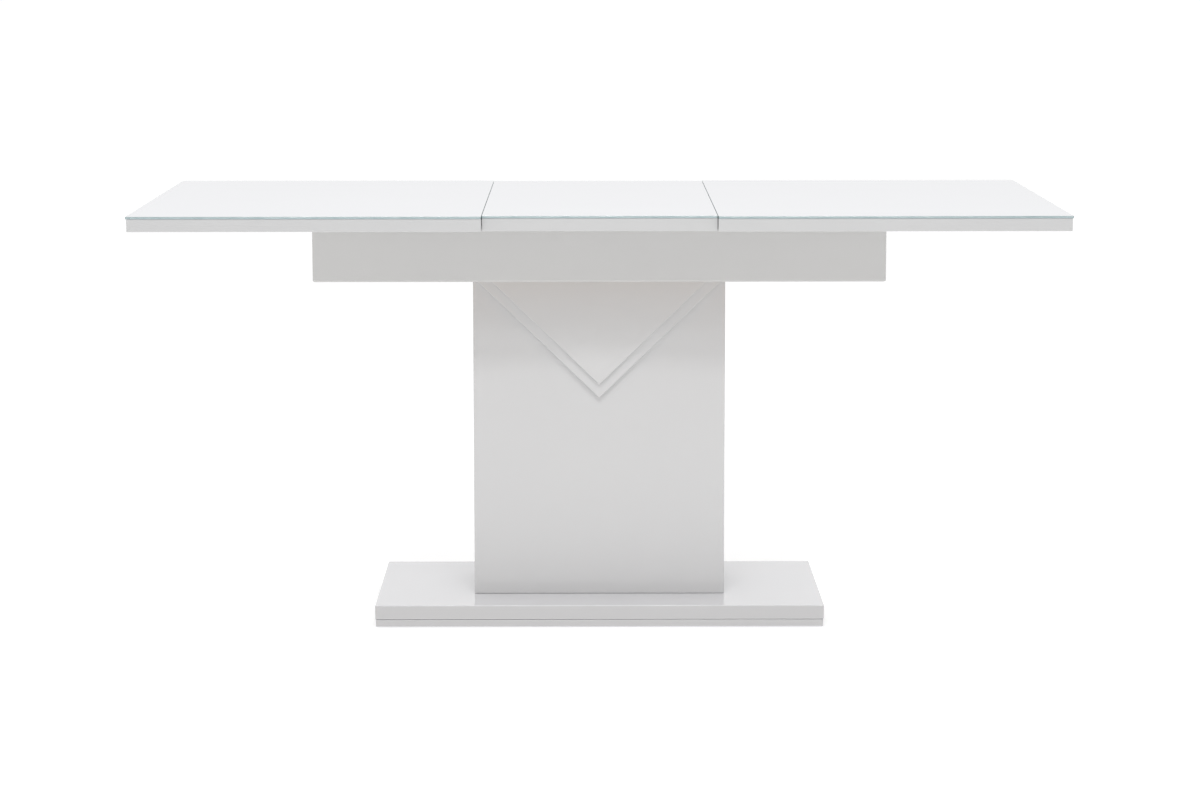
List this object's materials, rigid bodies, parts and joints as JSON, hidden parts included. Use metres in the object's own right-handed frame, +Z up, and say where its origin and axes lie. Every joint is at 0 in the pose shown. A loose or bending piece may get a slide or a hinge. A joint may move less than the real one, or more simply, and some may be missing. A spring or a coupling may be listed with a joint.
{
  "type": "extendable dining table",
  "caption": "Rectangular extending dining table on a boxed column and flat plinth: two glass-topped halves that pull apart, a loose leaf between them and a raised chevron on the column.",
  "frame": {"origin": "on the floor under the middle of the table", "axes": "+X along the table's length, to the right seen from the front; -Y is the front face; +Z up"},
  "size_m": [1.6, 0.8, 0.75],
  "materials": {
    "white_lacquer": "high-gloss white lacquer on MDF board",
    "white_glass": "clear float glass, white behind, polished greenish edge",
    "raw_mdf": "unfinished MDF",
    "beech": "planed and waxed beech",
    "white_nylon": "moulded natural nylon",
    "grey_nylon": "smooth nylon",
    "zinc_steel": "bright zinc-plated steel",
    "black_rubber": "matt rubber",
    "grey_felt": "pressed felt"
  },
  "bodies": {
    "frame": {"apron_back_board": "white_lacquer", "apron_corner_blocks": "beech", "apron_corner_dowels": "beech", "apron_front_board": "white_lacquer", "apron_left_end": "white_lacquer", "apron_right_end": "white_lacquer", "axle_nut": "zinc_steel", "base_bolts": "zinc_steel", "base_glides": "grey_felt", "base_lower_board": "white_lacquer", "base_upper_board": "white_lacquer", "bearer_dowels": "beech", "bearer_panel": "raw_mdf", "centre_rail_back": "beech", "centre_rail_front": "beech", "centre_rail_screws": "zinc_steel", "chevron_back_inner": "white_lacquer", "chevron_back_outer": "white_lacquer", "chevron_front_inner": "white_lacquer", "chevron_front_outer": "white_lacquer", "column_back_board": "white_lacquer", "column_batten_back_left": "beech", "column_batten_back_right": "beech", "column_batten_front_left": "beech", "column_batten_front_right": "beech", "column_foot_block": "raw_mdf", "column_front_board": "white_lacquer", "column_head_block": "raw_mdf", "column_left_board": "white_lacquer", "column_right_board": "white_lacquer", "cross_bearer_left": "beech", "cross_bearer_middle": "beech", "cross_bearer_right": "beech", "end_buffers": "black_rubber", "foot_insert_nuts": "zinc_steel", "head_bolts": "zinc_steel", "head_insert_nuts": "zinc_steel", "head_washers": "zinc_steel", "pinion_axle": "zinc_steel", "pinion_spacer": "zinc_steel", "slide_pads": "grey_nylon"},
    "left_half": {"left_rack": "white_nylon", "left_rack_screws": "zinc_steel", "left_runner_back": "beech", "left_runner_front": "beech", "left_runner_screws": "zinc_steel", "left_top_board": "white_lacquer", "left_top_glass": "white_glass"},
    "right_half": {"right_rack": "white_nylon", "right_rack_screws": "zinc_steel", "right_runner_back": "beech", "right_runner_front": "beech", "right_runner_screws": "zinc_steel", "right_top_board": "white_lacquer", "right_top_glass": "white_glass"},
    "pinion": {"sync_pinion": "white_nylon"},
    "leaf": {"leaf_block_screws": "zinc_steel", "leaf_board": "white_lacquer", "leaf_glass": "white_glass", "leaf_locating_blocks": "beech"}
  },
  "joints": [
    {"name": "left_slide", "type": "slide", "parent": "frame", "child": "left_half", "axis": [-1, 0, 0], "range_m": [0, 0.03]},
    {"name": "right_slide", "type": "slide", "parent": "frame", "child": "right_half", "axis": [1, 0, 0], "range_m": [0, 0.03]},
    {"name": "pinion_turn", "type": "hinge", "parent": "frame", "child": "pinion", "pos_m": [0, 0, 0.713], "axis": [0, 0, 1], "range_deg": [0, 114.8]},
    {"name": "leaf_lift", "type": "slide", "parent": "frame", "child": "leaf", "axis": [0, 0, 1], "range_m": [0, 0.25]}
  ],
  "couplings": [
    {"joint": "right_slide", "follows": "left_slide", "ratio": 1},
    {"joint": "pinion_turn", "follows": "left_slide", "rad_per_m": 66.667}
  ]
}
